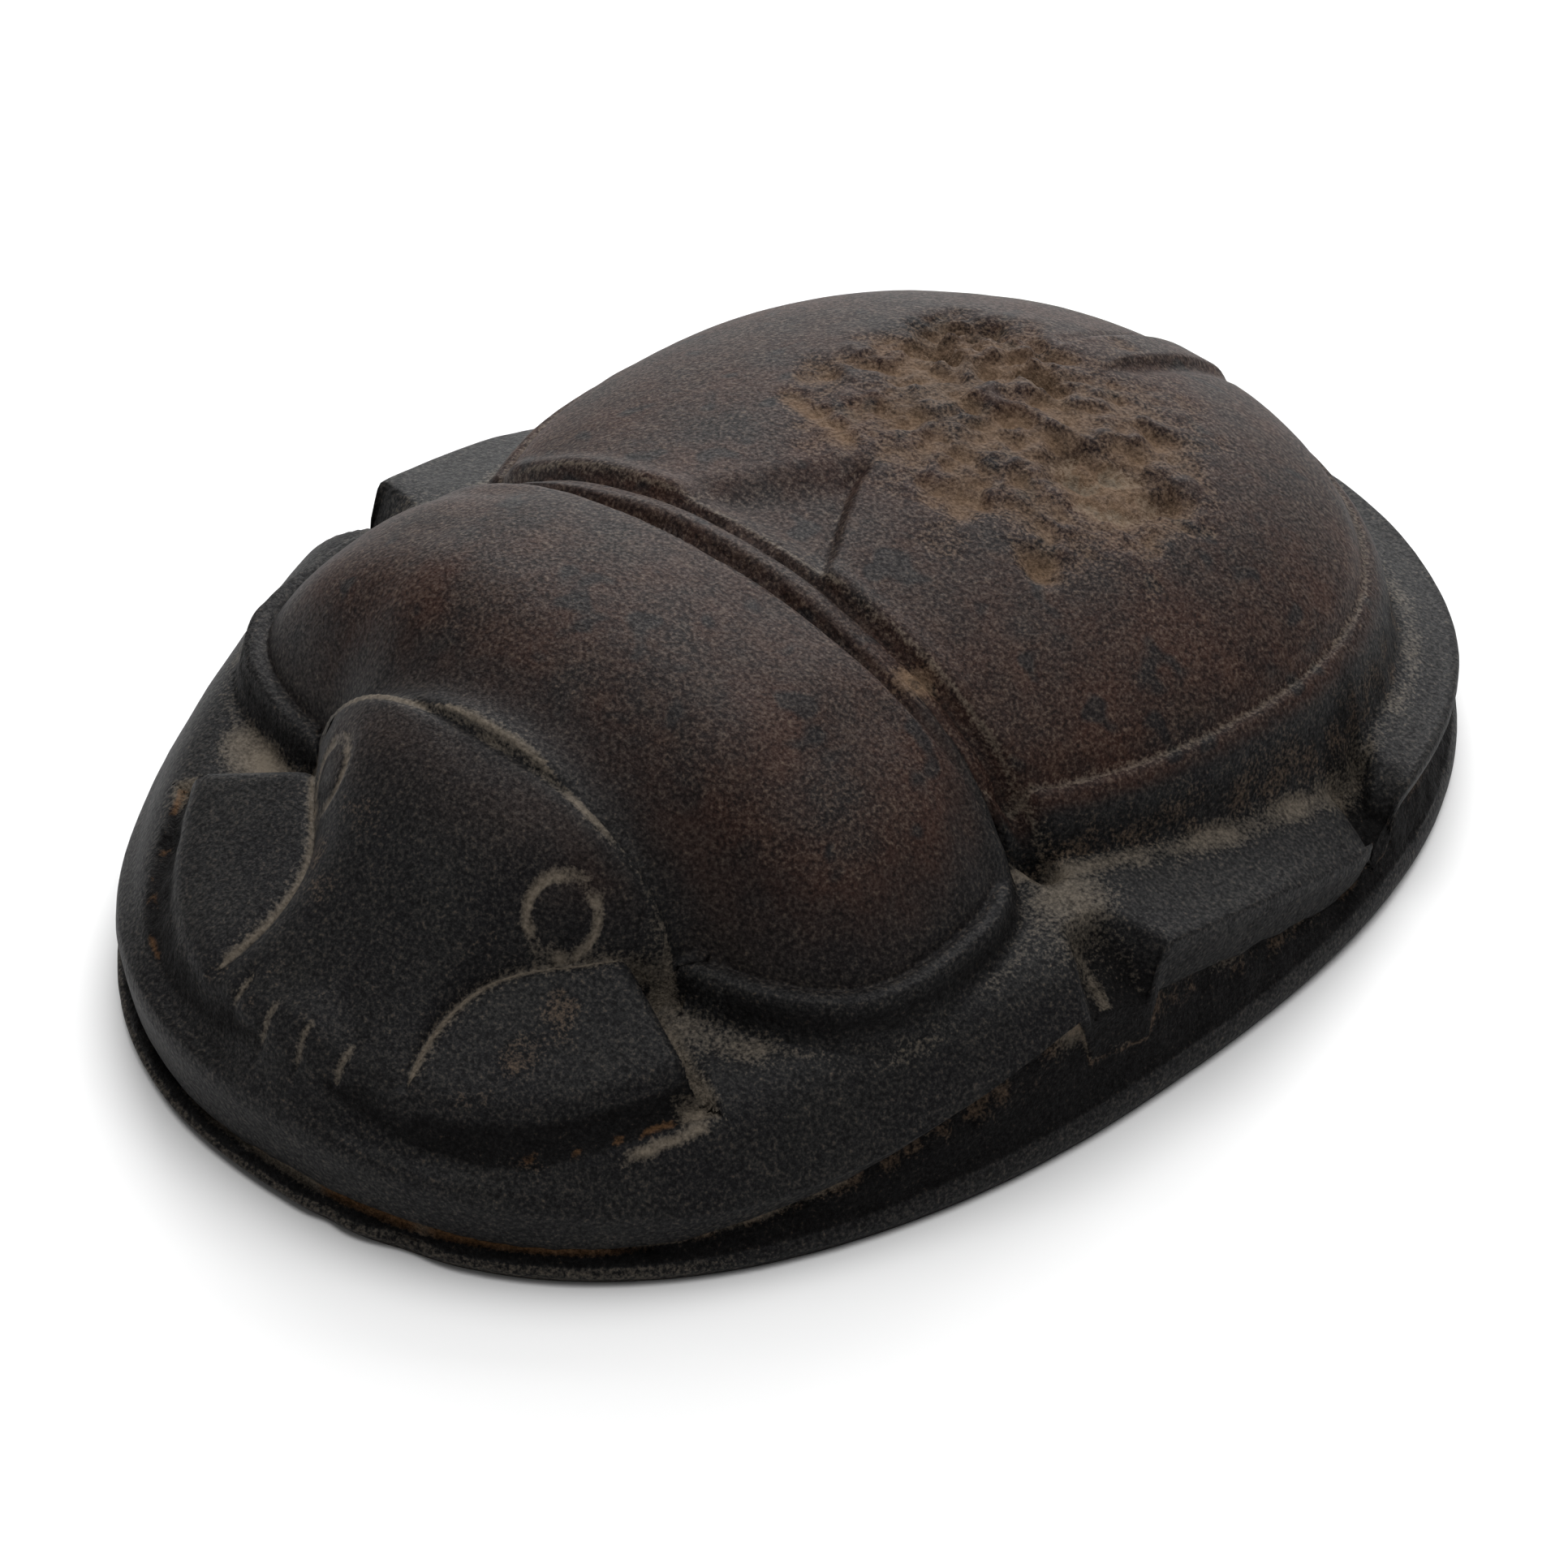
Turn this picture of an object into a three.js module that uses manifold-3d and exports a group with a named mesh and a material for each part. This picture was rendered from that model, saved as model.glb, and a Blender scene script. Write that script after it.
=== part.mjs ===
// Scarab amulet: a dung beetle carved from a single piece of dark stone, lying on an oval base slab.
// Millimetres. The head points to -Y, the beetle's left side to +X, and the underside is the plane Z = 0.
import * as THREE from 'three';
import { mergeVertices } from 'three/addons/utils/BufferGeometryUtils.js';
import Module from 'manifold-3d';

const wasm = await Module();
wasm.setup();

// ---------------------------------------------------------------- driving dimensions
const LENGTH = 54;            // base slab, head to tail
const WIDTH = 39.4;           // base slab, side to side, halfway along
const OVAL_POWER = 2.29;      // 2 is an ellipse, more is squarer
const SLAB_FOOT_RHO = 0.985;  // the foot of the slab, as a share of its widest outline
const SLAB_WIDEST_Z = 0.5;
const LEG_INNER_RHO = 0.8;    // where the legs' tops leave the body
const LEG_EDGE_RHO = 0.985;   // the outer edge of the legs' tops
const FORELEG_END_Y = -4.85;
const MID_LEG_Y = [-1.8, 11.3];
const HIND_LEG_START_Y = 13.5;

const PRONOTUM = { halfWidth: 16.0, y: -8.5, front: 7.2, rear: 6.9, power: 3.0 };
const NECK = { halfWidth: 8.6, edge: 8.2, crest: 14.4 };   // the hump where the head runs under the pronotum
const ELYTRA = { halfWidth: 15.7, y: 8.0, front: 17.5, rear: 16.2, power: 2.25 };
const BAND_Y = -2.9;          // the raised band between pronotum and elytra
const BAND_GROOVE_OFFSET = 0.8;
const BAND_GROOVE_RADIUS = 0.45;
const HEAD_FRONT_Y = -26;
const HEAD_FRONT_ARCH = 0.055;   // how fast the front edge falls back to the sides
const HEAD_REAR_Y = -14.6;
const TOOTH_SPACING = 1.75;   // the toothed front edge of the head
const FIRST_NOTCH_X = -3.1;
const EYE = { x: 5.7, y: -17.95, radius: 1.3, groove: 0.27 };
const SCUTELLUM = { halfWidth: 3.6, front: -2, apex: 4.1, depth: 0.5 };
const SUTURE = { halfWidth: 0.9, start: 15.4, end: 23.6, proud: 0.3 };

const HALF_LENGTH = LENGTH / 2;
const FLOOR = 1.2;            // inside the slab, where the forms that stand on it begin
const STONE = 0x2b2526;

// ---------------------------------------------------------------- small helpers
const lerp = THREE.MathUtils.lerp;
const clamp01 = (t) => THREE.MathUtils.clamp(t, 0, 1);
// The larger of two heights, with their crease filled over the given width.
function smoothMax(a, b, width) {
  const share = clamp01(0.5 + (0.5 * (a - b)) / width);
  return lerp(b, a, share) + width * share * (1 - share);
}

const signedPower = (value, power) => Math.sign(value) * Math.abs(value) ** power;

// A smooth curve through a few [position, value] stations, flat beyond its ends.
function through(stations, at) {
  const slope = (i) => {
    const before = stations[Math.max(i - 1, 0)];
    const after = stations[Math.min(i + 1, stations.length - 1)];
    return (after[1] - before[1]) / (after[0] - before[0]);
  };
  const last = stations.length - 1;
  let i = 0;
  while (i < last - 1 && at > stations[i + 1][0]) i += 1;
  const span = stations[i + 1][0] - stations[i][0];
  const t = clamp01((at - stations[i][0]) / span);
  const rise = stations[i + 1][1] - stations[i][1];
  const startPull = slope(i) * span - rise;
  const endPull = rise - slope(i + 1) * span;
  return lerp(stations[i][1], stations[i + 1][1], t) + t * (1 - t) * ((1 - t) * startPull + t * endPull);
}

// ---------------------------------------------------------------- the egg-shaped outline
// The tail end is a little wider than the head end.
function halfWidthAt(y) {
  const along = y / HALF_LENGTH;
  return (WIDTH / 2) * (1 + 0.041 * along + 0.013 * along * along);
}

// How far out a point lies: 0 at the middle, 1 on the outline.
function rhoAt(x, y) {
  const across = Math.abs(x / halfWidthAt(y)) ** OVAL_POWER;
  const along = Math.abs(y / HALF_LENGTH) ** OVAL_POWER;
  return (across + along) ** (1 / OVAL_POWER);
}

function ovalPoint(angle, rho) {
  const y = rho * HALF_LENGTH * signedPower(Math.sin(angle), 2 / OVAL_POWER);
  const x = rho * halfWidthAt(y) * signedPower(Math.cos(angle), 2 / OVAL_POWER);
  return { x, y };
}

const angleAtY = (y) => Math.asin(signedPower(y / HALF_LENGTH, OVAL_POWER / 2));

// ---------------------------------------------------------------- surfaces, as heights above the underside
const SHELF_BY_BODY = [[-27, 6.0], [-19, 6.4], [-13, 7.1], [-4, 7.8], [-1, 7.7], [5, 6.7], [11, 5.8],
  [18, 5.1], [25, 4.0]];
const SHELF_AT_EDGE = [[-27, 4.1], [-24, 3.7], [-19, 3.3], [-13, 4.0], [-4.5, 6.0], [-1.4, 6.7], [1.3, 6.2],
  [5, 5.3], [7.7, 4.4], [10.6, 3.6], [14, 4.5], [25, 3.0]];
const SHELF_ROUNDING = [[-27, 5.0], [-22, 4.6], [-19, 4.0], [-13, 3.0], [-6, 3.0], [-2, 1.15], [12, 1.15],
  [20, 1.8]];
const LEG_UNDERSIDE = [[-27, 1.1], [-22, 1.2], [-18.6, 1.9], [-14.5, 3.0], [-10.5, 4.1], [-4.8, 5.4],
  [-1.4, 4.6], [2.5, 3.7], [6.4, 2.8], [10.4, 2.1], [13, 3.4], [18, 2.8], [25, 2.0]];
const LEG_BULGE = [[-27, 1.0], [-20, 0.998], [-12, 0.988], [-1, 0.984], [8, 0.987], [14, 0.996], [25, 1.0]];
const SLAB_TOP = [[-27, 0.8], [-20, 1.0], [-8, 1.35], [10, 1.35], [27, 1.2]];

// The legs' tops and the shoulder that the body stands on.
function shelfHeight(x, y) {
  const rho = rhoAt(x, y);
  const out = clamp01((rho - LEG_INNER_RHO) / (LEG_EDGE_RHO - LEG_INNER_RHO)) ** through(SHELF_ROUNDING, y);
  const inside = 2.6 * clamp01(LEG_INNER_RHO - rho);
  return lerp(through(SHELF_BY_BODY, y), through(SHELF_AT_EDGE, y), out) + inside;
}

const PRONOTUM_RIM = [[-16, 7.0], [-9, 7.9], [-3, 8.7]];

function domeHalfWidth(dome, y) {
  const along = y < dome.y ? (dome.y - y) / dome.front : (y - dome.y) / dome.rear;
  return dome.halfWidth * clamp01(1 - along ** dome.power) ** (1 / dome.power);
}

// Full to the rear, where it meets the wing cases, and rounding down to its rim at the front and sides.
function pronotumHeight(x, y) {
  const { halfWidth, front, power } = PRONOTUM;
  const ahead = clamp01((PRONOTUM.y - y) / front);
  const out = ahead > 0
    ? clamp01((Math.abs(x / halfWidth) ** power + ahead ** power) ** (1 / power))
    : clamp01(Math.abs(x) / Math.max(domeHalfWidth(PRONOTUM, y), 0.001));
  const crest = 15.9 - 0.03 * Math.max(y + 8, 0) ** 2;
  const pillow = lerp(through(PRONOTUM_RIM, y), crest, (1 - out ** 2.4) ** 0.56);
  const neckAcross = clamp01(Math.abs(x) / NECK.halfWidth);
  const neck = lerp(NECK.edge, NECK.crest, (1 - neckAcross ** 2.2) ** 0.7);
  return smoothMax(pillow, neck, 1.6);
}

const ELYTRA_CREST = [[-3, 15.0], [2, 15.05], [8, 14.75], [14, 13.7], [19, 11.6], [22.5, 9.1], [24.2, 6.5]];
const ELYTRA_RIM = [[-3, 9.3], [2, 8.9], [8, 8.1], [14, 7.3], [25, 5.6]];

function elytraHeight(x, y) {
  const across = clamp01(Math.abs(x) / Math.max(domeHalfWidth(ELYTRA, y), 0.001));
  return lerp(through(ELYTRA_RIM, y), through(ELYTRA_CREST, y), (1 - across ** 2.15) ** 0.72);
}

// The cheeks' flat tops, tilted down outwards and forwards.
const cheekHeight = (x, y) => 6.7 - 0.237 * (Math.abs(x) - 4.5) + 0.397 * (y + 25.1);

const HEAD_CREST = [[-26, 6.4], [-24.6, 7.5], [-22.5, 9.4], [-20, 11.7], [-17.5, 13.3], [-15.2, 14.1]];
const HEAD_HALF_WIDTH = [[-26, 5.0], [-25.1, 4.7], [-24, 4.25], [-22.5, 4.0], [-21, 4.15], [-19.5, 4.9],
  [-17.9, 6.4], [-15.4, 8.6]];

// Rises from just under the cheeks' tops to the crest.
function headHeight(x, y) {
  const across = clamp01(Math.abs(x) / through(HEAD_HALF_WIDTH, y));
  const crest = through(HEAD_CREST, y);
  const edge = Math.min(cheekHeight(x, Math.min(y, -17.5)) - 0.4, crest - 0.1);
  return lerp(edge, crest, (1 - across ** 2.4) ** 0.62);
}

// ---------------------------------------------------------------- making solids
function toManifold(geometry) {
  geometry.deleteAttribute('normal');
  geometry.deleteAttribute('uv');
  const merged = mergeVertices(geometry, 1e-5);
  return new wasm.Manifold(new wasm.Mesh({
    numProp: 3,
    vertProperties: new Float32Array(merged.attributes.position.array),
    triVerts: new Uint32Array(merged.index.array),
  }));
}

// Skins a row of rings, each a list of [x, y, z] with the same count, and closes both ends.
// The rings run anticlockwise as seen from the far end of the row.
function loft(rings) {
  const count = rings[0].length;
  const positions = [];
  const index = [];
  rings.forEach((ring) => ring.forEach((point) => positions.push(...point)));
  for (let row = 0; row < rings.length - 1; row += 1) {
    for (let i = 0; i < count; i += 1) {
      const a = row * count + i;
      const b = row * count + (i + 1) % count;
      index.push(a, b, b + count, a, b + count, a + count);
    }
  }
  [0, rings.length - 1].forEach((row) => {
    const centre = positions.length / 3;
    for (let axis = 0; axis < 3; axis += 1) {
      positions.push(rings[row].reduce((sum, point) => sum + point[axis], 0) / count);
    }
    for (let i = 0; i < count; i += 1) {
      const pair = [row * count + i, row * count + (i + 1) % count];
      if (row === 0) pair.reverse();
      index.push(pair[0], pair[1], centre);
    }
  });
  const geometry = new THREE.BufferGeometry();
  geometry.setAttribute('position', new THREE.Float32BufferAttribute(positions, 3));
  geometry.setIndex(index);
  return toManifold(geometry);
}

const aroundCircle = (count) => Array.from({ length: count }, (_, i) => (2 * Math.PI * i) / count);
const evenSteps = (from, to, count) => (
  Array.from({ length: count + 1 }, (_, i) => lerp(from, to, i / count)));

// One level outline of the oval; height is a function of x and y.
function ovalRing(rho, height, count) {
  return aroundCircle(count).map((angle) => {
    const { x, y } = ovalPoint(angle, rho);
    return [x, y, height(x, y, angle)];
  });
}

const outlineY = (angle) => ovalPoint(angle, 1).y;

// The slab, the rough slope that leans in from it under the legs and up through the gaps between them,
// and the shoulder that the body stands on.
function makeSlab(count = 72) {
  const slab = (angle) => through(SLAB_TOP, outlineY(angle));
  const under = (angle) => through(LEG_UNDERSIDE, outlineY(angle));
  return loft([
    ovalRing(SLAB_FOOT_RHO, () => 0, count),
    ovalRing(1, () => SLAB_WIDEST_Z, count),
    ovalRing(0.998, (x, y, angle) => lerp(SLAB_WIDEST_Z, slab(angle), 0.6), count),
    ovalRing(0.991, (x, y, angle) => slab(angle), count),
    ovalRing(0.976, (x, y, angle) => lerp(slab(angle), under(angle), 0.5), count),
    ovalRing(0.96, (x, y, angle) => under(angle) - 0.15, count),
    ovalRing(0.86, (x, y) => shelfHeight(x, y) - 0.4, count),
    ovalRing(0.82, shelfHeight, count),
    ovalRing(0.68, shelfHeight, count),
  ]);
}

// A leg's cross-section at one angle of the oval, from its inner top outwards and round its underside.
function legSection(angle) {
  const under = through(LEG_UNDERSIDE, outlineY(angle));
  const edge = ovalPoint(angle, LEG_EDGE_RHO);
  const edgeHeight = shelfHeight(edge.x, edge.y);
  const top = [0.85, 0.9, 0.94, 0.965, LEG_EDGE_RHO].map((rho) => {
    const { x, y } = ovalPoint(angle, rho);
    return [x, y, shelfHeight(x, y)];
  });
  const bulge = through(LEG_BULGE, outlineY(angle));
  const outer = [[bulge, lerp(under, edgeHeight, 0.5)], [bulge - 0.01, under], [0.94, under - 0.2],
    [0.85, under - 0.2]];
  return [...top, ...outer.map(([rho, z]) => {
    const { x, y } = ovalPoint(angle, rho);
    return [x, y, z];
  })];
}

const makeLeg = (from, to, count) => loft(evenSteps(from, to, count).map(legSection));

function makeLegs() {
  const fore = angleAtY(FORELEG_END_Y);
  const mid = MID_LEG_Y.map(angleAtY);
  const hind = angleAtY(HIND_LEG_START_Y);
  return [
    makeLeg(-Math.PI - fore, fore, 40),
    makeLeg(mid[0], mid[1], 8),
    makeLeg(Math.PI - mid[1], Math.PI - mid[0], 8),
    makeLeg(hind, Math.PI - hind, 26),
  ];
}

// A dome over a squared oval, from a level floor up to its own height function.
function makeDome(dome, height, count) {
  const ring = (scale, lift) => aroundCircle(count).map((angle) => {
    const along = signedPower(Math.sin(angle), 2 / dome.power) * scale;
    const x = dome.halfWidth * signedPower(Math.cos(angle), 2 / dome.power) * scale;
    const y = dome.y + along * (along < 0 ? dome.front : dome.rear);
    return [x, y, lift ? height(x, y) : FLOOR];
  });
  const tops = [1, 0.99, 0.955, 0.89, 0.79, 0.65, 0.47, 0.25].map((scale) => ring(scale, true));
  return loft([ring(1, false), ...tops]);
}

// Cross-sections of the head from its arched front edge back, each closed by a level base line.
function makeHead() {
  const sections = evenSteps(0.06, 1, 14).map((step) => {
    const y = lerp(HEAD_FRONT_Y, HEAD_REAR_Y, step ** 1.5);
    const half = Math.min(through(HEAD_HALF_WIDTH, y), Math.sqrt((y - HEAD_FRONT_Y) / HEAD_FRONT_ARCH));
    const top = [-1, -0.97, -0.86, -0.7, -0.5, -0.25, 0, 0.25, 0.5, 0.7, 0.86, 0.97, 1]
      .map((share) => [share * half, y, headHeight(share * half, y)]);
    return [[half, y, FLOOR], [-half, y, FLOOR], ...top];
  });
  return loft(sections);
}

const CHEEK_EDGE_RHO = [[-25.1, 0.95], [-23, 0.927], [-21.4, 0.91], [-19.8, 0.893], [-18.4, 0.88]];

// The cheek: a flat fan-shaped plate with a curved outer edge and a straight rear edge.
function makeCheek(side) {
  const shape = new THREE.Shape();
  shape.moveTo(3.2, -25.2);
  evenSteps(-25.1, -18.4, 9).forEach((y) => {
    const rho = through(CHEEK_EDGE_RHO, y);
    const along = Math.abs(y / HALF_LENGTH) ** OVAL_POWER;
    shape.lineTo(halfWidthAt(y) * (rho ** OVAL_POWER - along) ** (1 / OVAL_POWER), y);
  });
  shape.lineTo(7.6, -16.7);
  shape.lineTo(2.5, -16.7);
  const geometry = new THREE.ExtrudeGeometry(shape, { depth: 1, bevelEnabled: false });
  const position = geometry.attributes.position;
  for (let i = 0; i < position.count; i += 1) {
    const x = position.getX(i);
    const y = position.getY(i);
    position.setZ(i, position.getZ(i) > 0.5 ? cheekHeight(x, y) : FLOOR);
  }
  if (side < 0) {
    geometry.scale(-1, 1, 1);
    const index = [...Array(position.count).keys()];
    for (let i = 0; i < index.length; i += 3) [index[i], index[i + 1]] = [index[i + 1], index[i]];
    geometry.setIndex(index);
  }
  return toManifold(geometry);
}

// A round bar along a curve, used both for raised ridges and as a cutter for grooves.
function bar(points, radius, steps, sides = 6) {
  const curve = new THREE.CatmullRomCurve3(points.map(([x, y, z]) => new THREE.Vector3(x, y, z)));
  const circle = new THREE.Shape(aroundCircle(sides).map((angle) => (
    new THREE.Vector2(radius * Math.cos(angle), radius * Math.sin(angle)))));
  return toManifold(new THREE.ExtrudeGeometry(circle, { steps, extrudePath: curve, bevelEnabled: false }));
}

// The height of the back, whichever of its forms is the highest.
const backHeight = (x, y) => Math.max(elytraHeight(x, y), pronotumHeight(x, y));

function acrossBack(y, radius, lift) {
  const reach = 13.6;
  const points = evenSteps(-reach, reach, 24).map((x) => [x, y, backHeight(x, BAND_Y) + lift]);
  points.unshift([-reach - 0.6, y, 8.5]);
  points.push([reach + 0.6, y, 8.5]);
  return bar(points, radius, 26);
}

// The groove that sets the wing cases' border apart, round both sides and the tail.
function makeBorderGroove() {
  const inset = 0.945;
  const points = evenSteps(-0.2 * Math.PI, 1.2 * Math.PI, 40).map((angle) => {
    const along = signedPower(Math.sin(angle), 2 / ELYTRA.power) * inset;
    const x = ELYTRA.halfWidth * signedPower(Math.cos(angle), 2 / ELYTRA.power) * inset;
    const y = ELYTRA.y + along * (along < 0 ? ELYTRA.front : ELYTRA.rear);
    return [x, y, elytraHeight(x, y) + 0.12];
  });
  return bar(points, 0.34, 40, 5);
}

// The raised lip round the pronotum.
function makePronotumLip(side) {
  const points = evenSteps(-0.42 * Math.PI, 0.2 * Math.PI, 18).map((angle) => {
    const along = signedPower(Math.sin(angle), 2 / PRONOTUM.power);
    const x = PRONOTUM.halfWidth * signedPower(Math.cos(angle), 2 / PRONOTUM.power);
    const y = PRONOTUM.y + along * (along < 0 ? PRONOTUM.front : PRONOTUM.rear);
    return [side * x * 0.975, y, through(PRONOTUM_RIM, y) + 0.05];
  });
  return bar(points, 0.5, 16);
}

function makeSuture() {
  const { halfWidth, start, end, proud } = SUTURE;
  return loft(evenSteps(start, end, 10).map((y) => {
    const top = elytraHeight(0, y) + proud * clamp01((y - start) / 2.5);
    return [[halfWidth, y, FLOOR], [-halfWidth, y, FLOOR], [-halfWidth, y, top], [halfWidth, y, top]];
  }));
}

// The hollow of the scutellum, the flat triangle behind the band: its right side slopes, its left is cut.
function makeScutellumHollow() {
  const { halfWidth, front, apex, depth } = SCUTELLUM;
  return loft(evenSteps(0, 0.85, 6).map((t) => {
    const y = lerp(front, apex, t);
    const half = halfWidth * (1 - t) ** 1.3;
    return [[half + 0.15, 0.6], [half, -depth], [-half + 0.5, -depth], [-half - 0.9, 0.6]]
      .map(([x, lift]) => [x, y, elytraHeight(x, y) + lift]);
  }));
}

function toothNotch(number) {
  const notch = new THREE.CylinderGeometry(0.42, 0.42, 3, 4);
  notch.rotateX(Math.PI / 2 - 0.5);
  notch.translate(FIRST_NOTCH_X + number * TOOTH_SPACING, HEAD_FRONT_Y + 0.2, 6.5);
  return toManifold(notch);
}

// The groove left by a tube drill, square to the slope of the head.
function eyeGroove(side) {
  const step = 0.01;
  const height = headHeight(EYE.x, EYE.y);
  const square = new THREE.Vector3(
    side * (height - headHeight(EYE.x + step, EYE.y)),
    height - headHeight(EYE.x, EYE.y + step),
    step,
  ).normalize();
  const turn = new THREE.Quaternion().setFromUnitVectors(new THREE.Vector3(0, 0, 1), square);
  const ring = new THREE.TorusGeometry(EYE.radius, EYE.groove, 5, 16);
  ring.applyQuaternion(turn);
  ring.translate(side * EYE.x, EYE.y, height + 0.05);
  return toManifold(ring);
}

// Broken, hollowed patches in the back of the wing cases.
function worn(x, y, radiusX, radiusY, depth) {
  const hollow = new THREE.SphereGeometry(1, 12, 6);
  hollow.rotateX(Math.PI / 2);
  hollow.scale(radiusX, radiusY, 3 * depth);
  hollow.translate(x, y, elytraHeight(x, y) + 2 * depth);
  return toManifold(hollow);
}

// ---------------------------------------------------------------- the amulet
function carveScarab() {
  const both = (make) => [make(1), make(-1)];
  const added = [
    ...makeLegs(),
    makeDome(PRONOTUM, pronotumHeight, 44),
    makeDome(ELYTRA, elytraHeight, 48),
    makeHead(),
    ...both(makeCheek),
    ...both(makePronotumLip),
    makeSuture(),
  ];
  const cut = [
    acrossBack(BAND_Y - BAND_GROOVE_OFFSET, BAND_GROOVE_RADIUS, 0.05),
    acrossBack(BAND_Y + BAND_GROOVE_OFFSET, BAND_GROOVE_RADIUS, 0.05),
    makeBorderGroove(),
    makeScutellumHollow(),
    ...both(eyeGroove),
    ...[0, 1, 2, 3].map(toothNotch),
    worn(-1.6, 12.8, 3.6, 2.4, 0.4),
    worn(3.4, 10.6, 4.6, 3.0, 0.3),
  ];
  let scarab = makeSlab();
  added.forEach((solid) => { scarab = scarab.add(solid); });
  cut.forEach((solid) => { scarab = scarab.subtract(solid); });
  return scarab;
}

function toGeometry(solid) {
  const { vertProperties, triVerts } = solid.getMesh();
  const geometry = new THREE.BufferGeometry();
  geometry.setAttribute('position', new THREE.BufferAttribute(vertProperties, 3));
  geometry.setIndex(new THREE.BufferAttribute(triVerts, 1));
  geometry.computeVertexNormals();
  return geometry;
}

const scarab = new THREE.Mesh(
  toGeometry(carveScarab()),
  new THREE.MeshStandardMaterial({ color: STONE, roughness: 0.5, metalness: 0 }),
);
scarab.name = 'scarab';

const group = new THREE.Group();
group.add(scarab);

export default group;
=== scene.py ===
"""Scarab amulet: a dung beetle carved from one piece of dark stone, on a plain pale floor."""
import math
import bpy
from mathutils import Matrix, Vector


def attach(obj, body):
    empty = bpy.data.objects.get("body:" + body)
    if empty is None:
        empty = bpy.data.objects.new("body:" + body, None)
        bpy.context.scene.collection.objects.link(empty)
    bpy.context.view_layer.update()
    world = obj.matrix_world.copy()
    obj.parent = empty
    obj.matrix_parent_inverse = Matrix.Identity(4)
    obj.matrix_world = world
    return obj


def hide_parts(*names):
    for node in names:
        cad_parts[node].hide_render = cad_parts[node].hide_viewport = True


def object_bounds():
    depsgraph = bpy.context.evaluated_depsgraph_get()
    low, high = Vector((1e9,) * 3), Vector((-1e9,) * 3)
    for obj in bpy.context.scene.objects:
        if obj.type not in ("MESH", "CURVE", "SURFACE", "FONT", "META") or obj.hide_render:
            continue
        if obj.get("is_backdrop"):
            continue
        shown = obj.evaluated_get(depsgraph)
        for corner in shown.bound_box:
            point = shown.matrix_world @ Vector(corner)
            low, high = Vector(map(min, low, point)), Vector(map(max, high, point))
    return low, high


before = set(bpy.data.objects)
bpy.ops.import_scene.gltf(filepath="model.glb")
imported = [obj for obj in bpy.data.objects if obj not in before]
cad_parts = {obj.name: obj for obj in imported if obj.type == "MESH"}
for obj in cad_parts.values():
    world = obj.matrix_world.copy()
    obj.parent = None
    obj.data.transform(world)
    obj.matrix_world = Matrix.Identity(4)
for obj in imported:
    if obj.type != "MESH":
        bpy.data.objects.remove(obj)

from types import SimpleNamespace

import bpy
import numpy as np
from bpy.props import FloatProperty, FloatVectorProperty, IntProperty, PointerProperty
from bpy.types import Operator, Panel, PropertyGroup
from mathutils import Matrix, Vector

bl_info = {
    "name": "Scarab amulet",
    "version": (1, 0, 0),
    "blender": (4, 5, 0),
    "location": "3D View > Sidebar > Scarab",
    "description": "Carves a stone scarab amulet and lights it on a pale floor",
    "category": "Add Mesh",
}

SOLID_LOW, SOLID_HIGH = (list(corner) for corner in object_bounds())
MM = 0.001

# ---------------------------------------------------------------- sizes of the carving, in millimetres
# The head points to -Y, the beetle's left side to +X, and Z is the height above the underside.
LENGTH = (SOLID_HIGH[1] - SOLID_LOW[1]) / MM
WIDTH = 39.4
OVAL_POWER = 2.29  # 2 is an ellipse, more is squarer
SEAM_RHO = 0.972  # inside this share of the outline the surface is a height over the plan
LEG_EDGE_RHO = 0.985
BAND_Y = -2.9  # the raised band between pronotum and wing cases
GROOVE_OFFSET = 0.8  # from the band's middle to each of its two grooves
NECK_Y = -15.4  # where the head runs under the pronotum
NECK_HALF = 8.6  # half width of the hump there
NECK_EDGE, NECK_CREST = 8.2, 14.4  # its height at the sides and in the middle
HEAD_FRONT_Y = -26.0
HEAD_ARCH = 0.055  # how fast the front edge falls back to the sides, per millimetre squared
NOTCHES, FIRST_NOTCH, NOTCH_PITCH, NOTCH_HALF, NOTCH_DEPTH = 4, -3.1, 1.75, 0.2, 0.6
EYE = (5.7, -17.95)
EYE_RING, EYE_RING_HALF, EYE_RING_DEPTH = 1.25, 0.17, 0.3  # the drilled groove: radius, half width, depth
SCUTELLUM = {"half": 3.6, "front": -2.0, "length": 6.1, "depth": 0.5}
SUTURE = {"half": 1.2, "proud": 0.32}
CHIPS = ((5.6, -26.2, 1.2, 0.014), (2.4, -26.9, 0.6, 0.008), (-13.0, -18.4, 0.8, 0.012))  # x, y, reach, rho
WALL_SLOPE = 4.5  # fall per millimetre of the cut walls round each raised form
SHUT = 0.9  # how far the right foreleg's gap is closed

PRONOTUM = {"half": 16.0, "y": -8.5, "front": 7.2, "rear": 6.9, "power": 3.0}
ELYTRA = {"half": 15.7, "y": 8.0, "front": 17.5, "rear": 16.2, "power": 2.25}

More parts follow.
